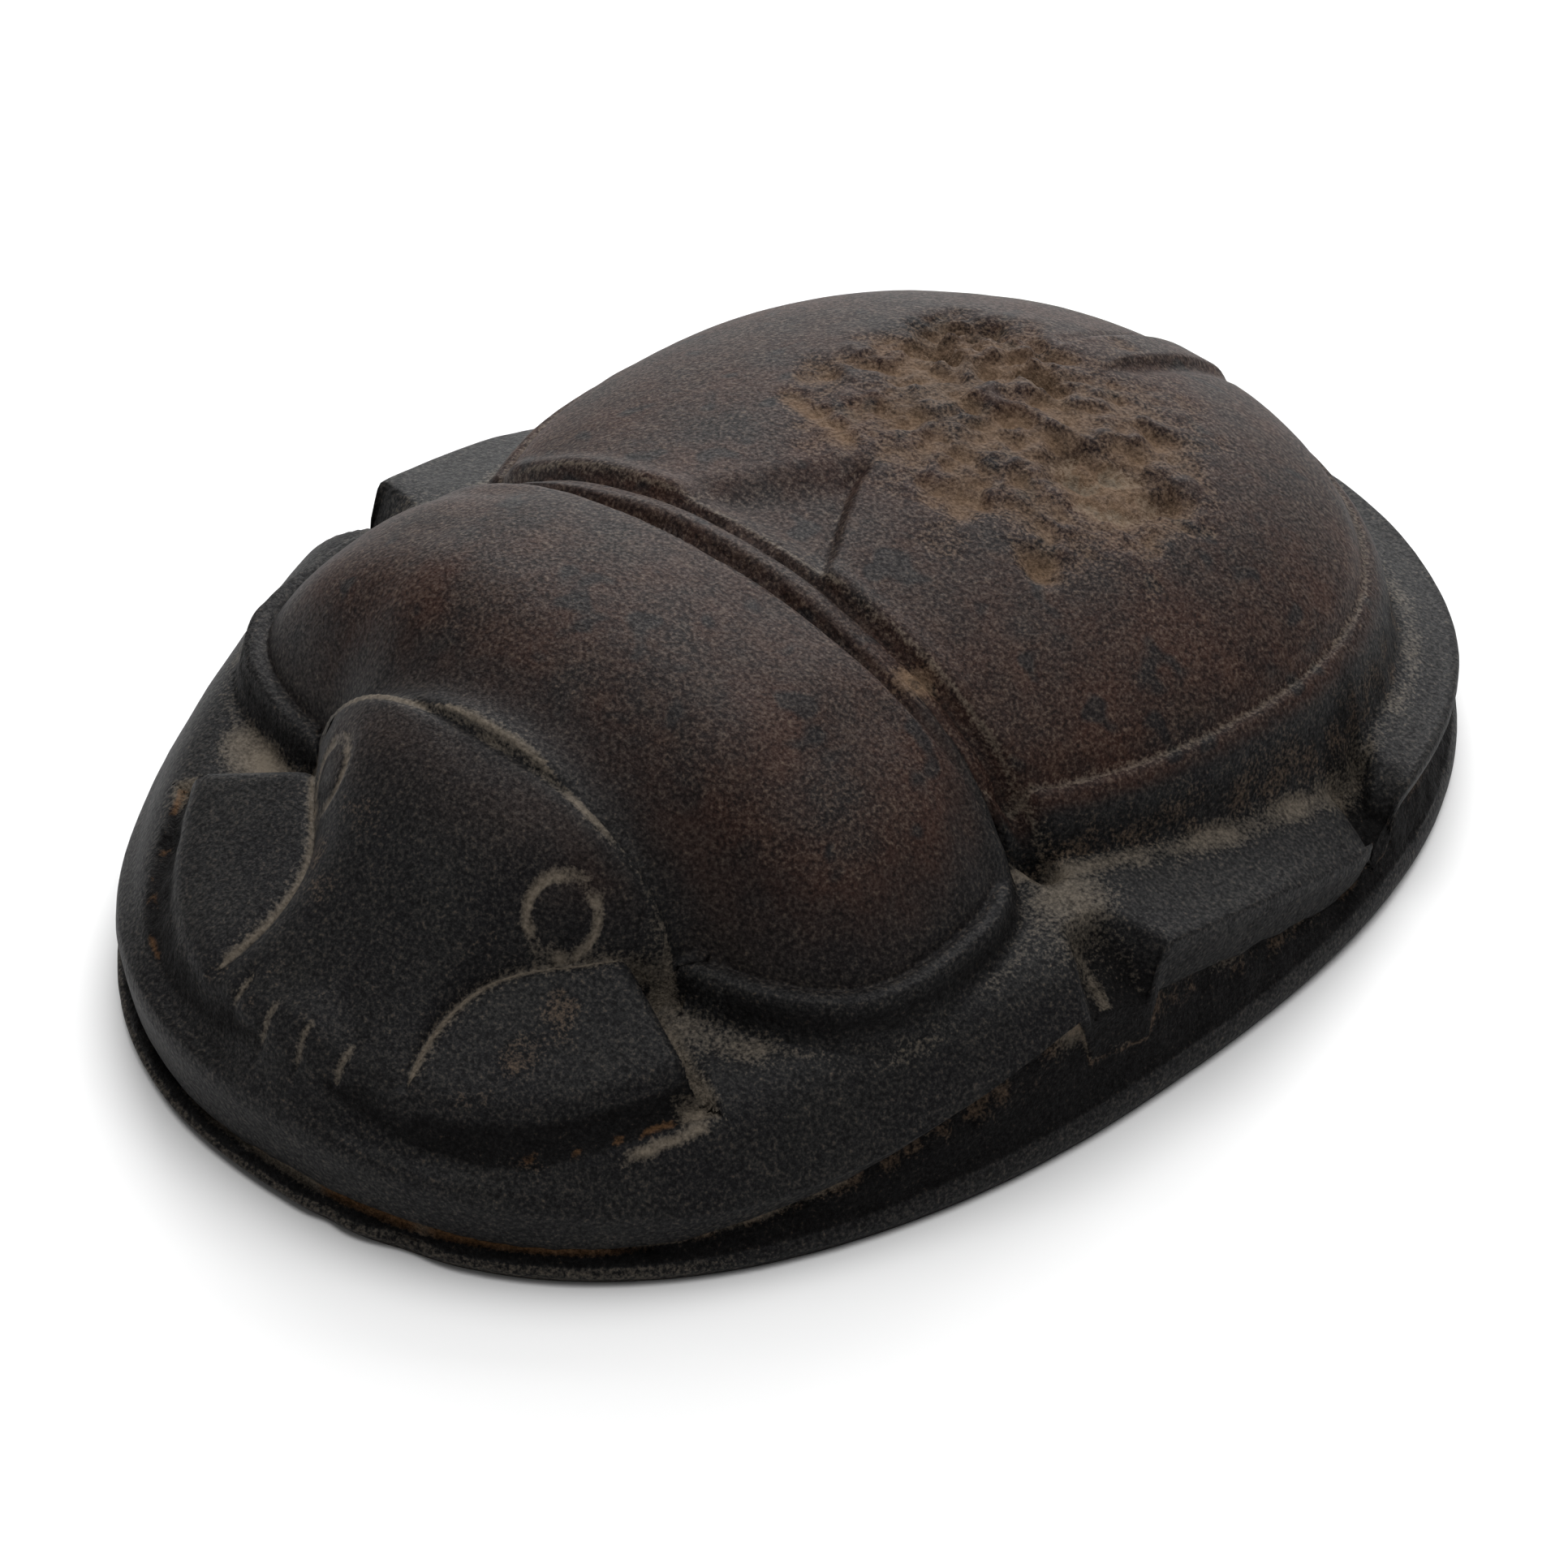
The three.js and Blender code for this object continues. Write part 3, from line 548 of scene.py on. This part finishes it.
# ---------------------------------------------------------------- the surface of the whole amulet
def disc_directions(cells):
    """A square grid laid on a disc: the ring number (0 to 1) and the direction on the unit circle of each
    grid point, by the concentric map that turns squares into rings."""
    side = np.linspace(-1, 1, cells + 1)
    u, v = np.meshgrid(side, side)
    ring = np.maximum(np.abs(u), np.abs(v))
    flat = np.abs(u) >= np.abs(v)
    wide = np.where(flat, u, v)
    wide = np.where(wide == 0, 1, wide)
    angle = np.pi / 4 * np.where(flat, v, u) / wide
    angle = np.where(flat, angle, np.pi / 2 - angle)
    sign = np.where(flat, np.sign(u), np.sign(v))
    return ring, np.cos(angle) * sign, np.sin(angle) * sign


RING_SPLIT = 0.8  # share of the rings that the upper side takes


def rim_profile(y_out, t, top, chip, shut):
    """The side of the amulet from the edge of the upper side (t = 0) down to the foot (t = 1): rows of
    [t, rho, z] stations for a leg's edge, face and underside, the raw slope under it and the slab, joined
    by lines; in the gaps between the legs the raw slope runs on from the upper side down to the slab.
    Chips set the slab in, and where shut is 1 the leg comes down nearly to the slab."""
    leg = leg_presence(y_out, SEAM_RHO + 0 * y_out)
    slab = through(SLAB_TOP, y_out)
    under = mix(through(LEG_UNDERSIDE, y_out), slab + 0.35, shut)
    edge = np.maximum(through(SHELF_AT_EDGE, y_out), under + 0.4)
    bulge = through(LEG_BULGE, y_out)
    stations = [
        (0.00, SEAM_RHO + 0 * t, top),
        (0.07, mix(0.972, bulge - 0.003, leg), mix(top, edge, leg)),
        (0.16, mix(0.973, bulge, leg), mix(mix(slab, top, 0.9), mix(under, edge, 0.8), leg)),
        (0.26, mix(0.974, bulge - 0.006, leg), mix(mix(slab, top, 0.8), mix(under, edge, 0.45), leg)),
        (0.36, mix(0.975, bulge - 0.014, leg), mix(mix(slab, top, 0.7), mix(under, edge, 0.08), leg)),
        (0.41, mix(0.976, bulge - 0.020, leg), mix(mix(slab, top, 0.6), under - 0.05, leg)),
        (0.46, mix(0.977, bulge - 0.030, leg), mix(mix(slab, top, 0.5), under - 0.1, leg)),
        (0.58, 0.975 + 0 * t, mix(mix(slab, top, 0.4), mix(slab, under, 0.5), leg)),
        (0.70, 0.987 + 0 * t, slab + 0.15),
        (0.75, 0.992 - chip, slab),
        (0.84, 0.998 - chip, mix(0.5, slab, 0.6)),
        (0.93, 1.0 - 0.7 * chip, 0.5 + 0 * t),
        (1.00, 0.985 - 0.3 * chip, 0 * t),
    ]
    rho, z = stations[0][1], stations[0][2]
    for (t0, rho0, z0), (t1, rho1, z1) in zip(stations, stations[1:]):
        share = np.clip((t - t0) / (t1 - t0), 0, 1)
        rho, z = np.where(t >= t0, mix(rho0, rho1, share), rho), np.where(t >= t0, mix(z0, z1, share), z)
    return rho, z


def side_masks(t, edge_x, edge_y, side):
    """What lies on the side: rough stone darkened as painted shade in the gaps and under the legs, painted
    shade on the middle leg's face, crumbs of tan stone and a line of crust and soil under the legs' lips,
    more of both at the front, and a paler front to the slab."""
    gap = 1 - leg_presence(edge_y, SEAM_RHO + 0 * edge_y)
    # rough stone under the legs' lips, darkened as painted shade
    under_leg = ramp(0.38, 0.44, t) * ramp(0.78, 0.72, t)
    # painted shade: the middle leg's outer face is darkened with the rough stone's colour
    middle_face_shade = 0.5 * (1 - gap) * ramp(0.12, 0.2, t) * ramp(0.42, 0.38, t) * (edge_y > -4) * (edge_y < 12)
    blotch = np.clip(0.45 + 1.3 * uneven(*side, 2.6, 31), 0, 1)
    crumb_line = hump(t, 0.47, 0.06) * blotch
    front = ramp(-18, -23, edge_y) * ramp(-9, -3, edge_x) * ramp(16, 10, edge_x) * hump(t, 0.55, 0.1)
    # the slab's front is made paler with the soil colour
    slab_front = 0.35 * ramp(-14, -22, edge_y) * ramp(0.72, 0.78, t)
    return {
        "rough_and_shade": np.maximum.reduce([under_leg, gap * ramp(0.78, 0.72, t), middle_face_shade]),
        "red": 0 * t,
        "broken": 0.3 * hump(t, 0.5, 0.05) * ramp(-0.2, 0.3, uneven(*side, 0.6, 32)),
        "crust": np.maximum(0.5 * crumb_line, 0.95 * front * np.clip(2 * blotch, 0, 1)),
        "dust_and_highlight": np.maximum.reduce([
            crumb_line * 0.85, slab_front, 0.75 * front * np.clip(1.7 - 2 * blotch, 0, 1),
        ]),
    }


def carve(cells):
    """The closed surface: the upper side as heights inside the seam, the side profile round it, and a flat
    underside of rings drawn in to a centre point. Gives points, quads, triangles and masks."""
    ring, circle_x, circle_y = disc_directions(cells)
    rho = np.where(ring < RING_SPLIT, ring / RING_SPLIT * SEAM_RHO, SEAM_RHO)
    x, y = oval_point(circle_x, circle_y, rho)
    for inside, depth, where, *width in (
        (in_pronotum, -0.12, lambda x, y: (y < BAND_Y) * (np.abs(x) > 8.4) * 1.0),
        (in_pronotum, 0.8, lambda x, y: (y < BAND_Y) * (np.abs(x) > 8.4) * 1.0),
        (in_elytra, -0.15, lambda x, y: (y > BAND_Y) * 1.0),
        (in_elytra, 0.95, lambda x, y: (y > BAND_Y) * 0.6),
        (lambda x, y: y - BAND_Y, 0.0, lambda x, y: (np.abs(x) < 15) * 1.0, 1.3),
        (in_cheek, -0.12, lambda x, y: (y < -16) * (in_head(x, y) < 0) * 1.0),
        (in_head, 0.0, lambda x, y: (y < NECK_Y + 1) * (np.abs(x) < 9.5) * 1.0),
    ):
        x, y = gather(x, y, inside, depth, where, *width)
    z, masks = upper_side(x, y)

    t = np.clip((ring - RING_SPLIT) / (1 - RING_SPLIT), 0, 1)
    edge_x, edge_y = oval_point(circle_x, circle_y, 1 + 0 * ring)
    seam_z, _ = upper_side(*oval_point(circle_x, circle_y, SEAM_RHO + 0 * ring))
    chip = sum(deep * hump(np.hypot(edge_x - cx, edge_y - cy), 0, wide) for cx, cy, wide, deep in CHIPS)
    shut = SHUT * ramp(1, -5, edge_x) * ramp(-8, -16, edge_y)
    side_rho, side_z = rim_profile(edge_y, t, seam_z, chip, shut)
    side_x, side_y = oval_point(circle_x, circle_y, side_rho)
    on_side = ring >= RING_SPLIT
    x, y, z = (np.where(on_side, a, b) for a, b in ((side_x, x), (side_y, y), (side_z, z)))
    on_edge = side_masks(t, edge_x, edge_y, (side_x, side_y, side_z))
    masks = {name: np.where(on_side, on_edge[name], mask) for name, mask in masks.items()}

    points = roughen(np.stack([x, y, z], -1), masks)
    index = np.arange((cells + 1) ** 2).reshape(cells + 1, cells + 1)
    quads = np.stack([index[:-1, :-1], index[:-1, 1:], index[1:, 1:], index[1:, :-1]], -1).reshape(-1, 4)

    edge = np.concatenate([index[0, :-1], index[:-1, -1], index[-1, :0:-1], index[:0:-1, 0]])
    points = points.reshape(-1, 3)
    points[edge, 2] = 0
    foot = points[edge]
    count, shares = len(edge), (0.96, 0.5)
    rings = [edge] + [len(points) + k * count + np.arange(count) for k in range(len(shares))]
    centre = len(points) + len(shares) * count
    points = np.concatenate([points] + [foot * share for share in shares] + [np.zeros((1, 3))])
    for outer, inner in zip(rings, rings[1:]):
        quads = np.concatenate([quads, np.stack([outer, inner, np.roll(inner, -1), np.roll(outer, -1)], -1)])
    triangles = np.stack([rings[-1], np.full(count, centre), np.roll(rings[-1], -1)], -1)
    under = np.zeros(len(points) - x.size)
    masks = {name: np.concatenate([mask.ravel(), under]) for name, mask in masks.items()}
    return points, quads, triangles, masks


def roughen(points, masks):
    """Moves each point along its normal by the hand's unevenness and the grain of raw stone."""
    du, dv = np.gradient(points, axis=1), np.gradient(points, axis=0)
    normal = np.cross(du, dv)
    normal /= np.maximum(np.linalg.norm(normal, axis=-1, keepdims=True), 1e-9)
    x, y, z = np.moveaxis(points, -1, 0)
    lift = 0.05 * uneven(x, y, z, 5.0, 3) + 0.02 * uneven(x, y, z, 1.2, 4)
    lift = lift + masks["rough_and_shade"] * 0.22 * uneven(x, y, z, 1.1, 5)
    return points + normal * lift[..., None]


def make_mesh(name, points, quads, triangles, masks):
    """Puts the arrays into a new mesh object at the origin, in metres, with the masks as attributes."""
    mesh = bpy.data.meshes.new(name)
    mesh.vertices.add(len(points))
    mesh.vertices.foreach_set("co", (points * MM).astype(np.float32).ravel())
    corners = np.concatenate([quads.ravel(), triangles.ravel()])
    mesh.loops.add(len(corners))
    mesh.loops.foreach_set("vertex_index", corners.astype(np.int32))
    starts = np.concatenate([np.arange(len(quads)) * 4, len(quads) * 4 + np.arange(len(triangles)) * 3])
    mesh.polygons.add(len(starts))
    mesh.polygons.foreach_set("loop_start", starts.astype(np.int32))
    mesh.polygons.foreach_set("use_smooth", np.ones(len(starts), bool))
    mesh.update(calc_edges=True)
    for mask, values in masks.items():
        mesh.attributes.new(mask, "FLOAT", "POINT").data.foreach_set("value", values.astype(np.float32))
    made = bpy.data.objects.new(name, mesh)
    bpy.context.collection.objects.link(made)
    return made


# ---------------------------------------------------------------- materials
def linear(code):
    """An sRGB hex value as linear red, green, blue and alpha 1."""
    parts = [int(code[i:i + 2], 16) / 255 for i in (1, 3, 5)]
    return tuple(p / 12.92 if p <= 0.04045 else ((p + 0.055) / 1.055) ** 2.4 for p in parts) + (1.0,)


def node(tree, kind, settings=None, values=None, links=None):
    """Adds a node, sets its properties and socket values, and links sockets into it."""
    made = tree.nodes.new(kind)
    for name, value in (settings or {}).items():
        setattr(made, name, value)
    for socket, value in (values or {}).items():
        made.inputs[socket].default_value = value
    for socket, source in (links or {}).items():
        tree.links.new(source, made.inputs[socket])
    return made


MASKS = ("dust_and_highlight", "crust", "rough_and_shade", "red", "broken")


def worn_polished_stone(look):
    """Fine dark stone, cut with abrasives and polished, then handled and buried: a faint satin sheen over a
    fine tan speckle, redder and warmer on the back, rough in the deep cuts and painted near black there as
    shade, with pale soil left in the hollows and a pale painted highlight along the cheeks' inner edges."""
    stone = bpy.data.materials.new("worn polished siltstone")
    stone.use_nodes = True
    tree = stone.node_tree
    tree.nodes.clear()
    place = node(tree, "ShaderNodeTexCoord").outputs["Object"]
    mask = {
        name: node(tree, "ShaderNodeAttribute", {"attribute_name": name}).outputs["Fac"] for name in MASKS
    }
    # sizes in millimetres; the real silt is finer than the 0.15 mm grain, drawn coarser so that it shows
    sizes = {"grain": (0.15, 3), "speckle": (0.26, 4), "fleck": (0.9, 4), "spot": (1.7, 1), "cloud": (3.5, 5)}
    noise = {
        name: node(tree, "ShaderNodeTexNoise", None,
                   {"Scale": 1 / (size * MM), "Detail": detail, "Roughness": 0.65},
                   {"Vector": place}).outputs["Fac"]
        for name, (size, detail) in sizes.items()
    }
    cloudy = node(tree, "ShaderNodeMapRange", None, {"From Min": 0.35, "From Max": 0.65},
                  {"Value": noise["cloud"]})
    shades = {}
    for part, dark, light in (("back", look.back_dark, look.back), ("body", look.body_dark, look.body)):
        shades[part] = node(tree, "ShaderNodeMix", {"data_type": "RGBA"}, {6: (*dark, 1), 7: (*light, 1)},
                            {0: cloudy.outputs[0]}).outputs[2]
    shade = node(tree, "ShaderNodeMix", {"data_type": "RGBA"}, None,
                 {0: mask["red"], 6: shades["body"], 7: shades["back"]}).outputs[2]
    # each layer: its colour, the noise that breaks it up, the levels of noise plus mask between which it
    # grows, and how strongly it covers; where the mask is weaker its grains are fewer
    for layer, tint, pattern, low, high, most, where in (
        ("tan speckle", look.fleck, "grain", 1.5, 1.72, 0.42, "red"),
        ("tan mottle", look.fleck, "fleck", 1.52, 1.7, 0.22, "red"),
        ("grey spots", look.body_dark, "spot", 1.62, 1.7, 0.8, "red"),
        ("dark specks", look.rough_and_shade, "grain", 0.5, 0.34, 0.75, None),
        ("pale specks", look.dust_and_highlight, "grain", 0.5, 0.74, 0.17, None),
        # painted shade: the near-black in the gaps, cut walls, pits and grooves stands for their shade as
        # well as for unpolished stone
        ("rough cuts and painted shade", look.rough_and_shade, "speckle", 0.85, 1.35, 0.95, "rough_and_shade"),
        ("broken stone", look.broken, "grain", 0.62, 1.25, 0.88, "broken"),
        ("dark crumbs", look.rough_and_shade, "speckle", 1.15, 1.5, 0.8, "broken"),
        # the dust mask also carries a painted highlight along the cheeks' inner edges
        ("soil dust and painted highlight", look.dust_and_highlight, "grain", 0.75, 1.4, 0.8, "dust_and_highlight"),
        ("iron crust", look.crust, "grain", 0.9, 1.55, 0.9, "crust"),
    ):
        level = noise[pattern]
        if where:
            level = node(tree, "ShaderNodeMath", {"operation": "ADD"}, None,
                         {0: level, 1: mask[where]}).outputs[0]
        spots = node(tree, "ShaderNodeMapRange", None, {"From Min": low, "From Max": high, "To Max": most},
                     {"Value": level}).outputs[0]
        shade = node(tree, "ShaderNodeMix", {"data_type": "RGBA", "label": layer}, {7: (*tint, 1)},
                     {0: spots, 6: shade}).outputs[2]
    loose = node(tree, "ShaderNodeMath", {"operation": "ADD", "use_clamp": True}, None,
                 {0: mask["rough_and_shade"], 1: mask["broken"]})
    coarse = node(tree, "ShaderNodeMapRange", None, {"To Min": 0.2}, {"Value": loose.outputs[0]})
    pits = node(tree, "ShaderNodeBump", None, {"Distance": 0.25 * MM},
                {"Strength": coarse.outputs[0], "Height": noise["speckle"]})
    bump = node(tree, "ShaderNodeBump", None, {"Strength": 0.6, "Distance": 0.05 * MM},
                {"Height": noise["grain"], "Normal": pits.outputs[0]})
    dull = node(tree, "ShaderNodeMapRange", None, {"To Min": 0.58, "To Max": 0.85},
                {"Value": loose.outputs[0]})
    # the polish shows only between the pits of the grain, so the sheen is broken into fine sparks
    sheen = node(tree, "ShaderNodeMapRange", None,
                 {"From Min": 0.38, "From Max": 0.65, "To Min": 0.07, "To Max": 0.18},
                 {"Value": noise["grain"]})
    shader = node(tree, "ShaderNodeBsdfPrincipled", None, {"IOR": 1.5},
                  {"Base Color": shade, "Roughness": dull.outputs[0], "Normal": bump.outputs[0],
                   "Specular IOR Level": sheen.outputs[0]})
    node(tree, "ShaderNodeOutputMaterial", None, None, {"Surface": shader.outputs[0]})
    return stone


def pale_paper():
    """Seamless background paper: flat, matt and near white."""
    paper = bpy.data.materials.new("matt white background paper")
    paper.use_nodes = True
    shader = paper.node_tree.nodes["Principled BSDF"]
    shader.inputs["Base Color"].default_value = linear("#f4f4f4")
    shader.inputs["Roughness"].default_value = 0.9
    shader.inputs["Specular IOR Level"].default_value = 0.1
    return paper


# ---------------------------------------------------------------- what a user would change
def colour(name, code, words):
    """A colour that can be changed, from its hex value."""
    return FloatVectorProperty(name=name, description=words, subtype="COLOR", size=3, min=0, max=1,
                               default=linear(code)[:3])


class ScarabCarving(PropertyGroup):
    """How finely the carving's surface is gridded."""

    cells: IntProperty(name="Cells", description="Cells across the surface's grid", default=310, min=60,
                       max=310, step=10)


class ScarabStone(PropertyGroup):
    """Colours of the stone and of what lies on it."""

    back: colour("Back", "#2f1c15", "Reddish brown of the pronotum and wing cases")
    back_dark: colour("Back, dark", "#1a1413", "Darker clouds on the back")
    body: colour("Body", "#191919", "Charcoal of the head, legs and slab")
    body_dark: colour("Body, dark", "#111113", "Darker clouds in the charcoal")
    # painted shade: this near-black also stands for the shade in the deep cuts, gaps and grooves
    rough_and_shade: colour("Rough cuts", "#090808", "Unpolished stone, and painted shade, in the deep cuts")
    fleck: colour("Fleck", "#4f3e33", "Fine tan specks")
    broken: colour("Broken stone", "#6f5a47", "Tan inside of the stone where the surface has gone")
    # this colour also paints the highlight line on the cheeks' inner edges
    dust_and_highlight: colour("Dust", "#71675a", "Pale soil left in the hollows, and the painted highlight on the cheeks' inner edges")
    crust: colour("Crust", "#5f4329", "Rusty deposit in the front groove")


class ScarabStage(PropertyGroup):
    """Camera and light."""

    distance: FloatProperty(name="Camera distance", description="From the amulet's middle", default=0.502,
                            unit="LENGTH")
    azimuth: FloatProperty(name="Azimuth", description="Camera's turn from the head to the left side",
                           default=math.radians(42.111), subtype="ANGLE")
    elevation: FloatProperty(name="Elevation", description="Camera's height above the floor's plane",
                             default=math.radians(39.726), subtype="ANGLE")
    roll: FloatProperty(name="Roll", description="Camera's turn about its own axis",
                        default=math.radians(0.413), subtype="ANGLE")
    key: FloatProperty(name="Key light", description="Power that each light takes its share of", default=12.0,
                       unit="POWER")


class SCARAB_OT_carve(Operator):
    """Carve the amulet as one closed stone"""

    bl_idname = "scarab.carve"
    bl_label = "Carve the amulet"

    def execute(self, context):
        scene = context.scene
        made = make_mesh("scarab_amulet", *carve(scene.scarab_carving.cells))
        made.data.materials.append(worn_polished_stone(scene.scarab_stone))
        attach(made, "root")
        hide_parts("scarab")
        return {"FINISHED"}


class SCARAB_OT_stage(Operator):
    """Lay the pale floor and set the lights and the camera"""

    bl_idname = "scarab.stage"
    bl_label = "Set the stage"

    def execute(self, context):
        scene, stage = context.scene, context.scene.scarab_stage
        bpy.ops.mesh.primitive_plane_add(size=FLOOR_SIZE)
        floor = context.object
        floor.name = "floor"
        floor.data.materials.append(pale_paper())
        floor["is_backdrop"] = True
        for name, place, size, share in LAMPS:
            lamp = bpy.data.lights.new(name, "AREA")
            lamp.shape, lamp.size, lamp.energy = "SQUARE", size, stage.key * share
            light = bpy.data.objects.new(name, lamp)
            light.location = place
            light.rotation_euler = (-Vector(place)).to_track_quat("-Z", "Y").to_euler()
            context.collection.objects.link(light)
        world = bpy.data.worlds.new("soft studio")
        world.use_nodes = True
        world.node_tree.nodes["Background"].inputs[0].default_value = (1, 1, 1, 1)
        world.node_tree.nodes["Background"].inputs[1].default_value = SKY
        scene.world = world
        scene.view_settings.view_transform = "Standard"

        lens = bpy.data.cameras.new("camera")
        lens.lens, lens.sensor_width = FOCAL_LENGTH, SENSOR_WIDTH
        lens.clip_start, lens.clip_end = 0.01, 20.0
        camera = bpy.data.objects.new("camera", lens)
        azimuth, elevation = stage.azimuth, stage.elevation
        back = Vector((math.sin(azimuth) * math.cos(elevation), -math.cos(azimuth) * math.cos(elevation),
                       math.sin(elevation)))
        camera.matrix_world = (
            Matrix.Translation(Vector(AIM) * MM + back * stage.distance)
            @ (-back).to_track_quat("-Z", "Y").to_matrix().to_4x4()
            @ Matrix.Rotation(stage.roll, 4, "Z")
        )
        context.collection.objects.link(camera)
        scene.camera = camera
        return {"FINISHED"}


class SCARAB_PT_panel(Panel):
    """Lists what can be set and made"""

    bl_label = "Scarab amulet"
    bl_space_type = "VIEW_3D"
    bl_region_type = "UI"
    bl_category = "Scarab"

    def draw(self, context):
        for group, operator in OPERATORS.items():
            settings = getattr(context.scene, group)
            for name in settings.__annotations__:
                self.layout.prop(settings, name)
            if operator:
                self.layout.operator(operator)


GROUPS = {"scarab_carving": ScarabCarving, "scarab_stone": ScarabStone, "scarab_stage": ScarabStage}
OPERATORS = {"scarab_carving": None, "scarab_stone": "scarab.carve", "scarab_stage": "scarab.stage"}
CLASSES = (*GROUPS.values(), SCARAB_OT_carve, SCARAB_OT_stage, SCARAB_PT_panel)


def register():
    for item in CLASSES:
        bpy.utils.register_class(item)
    for name, group in GROUPS.items():
        setattr(bpy.types.Scene, name, PointerProperty(type=group))


def unregister():
    for name in GROUPS:
        delattr(bpy.types.Scene, name)
    for item in reversed(CLASSES):
        bpy.utils.unregister_class(item)


def main():
    """Makes everything in order."""
    register()
    bpy.ops.scarab.carve()
    bpy.ops.scarab.stage()


if __name__ == "__main__":
    main()
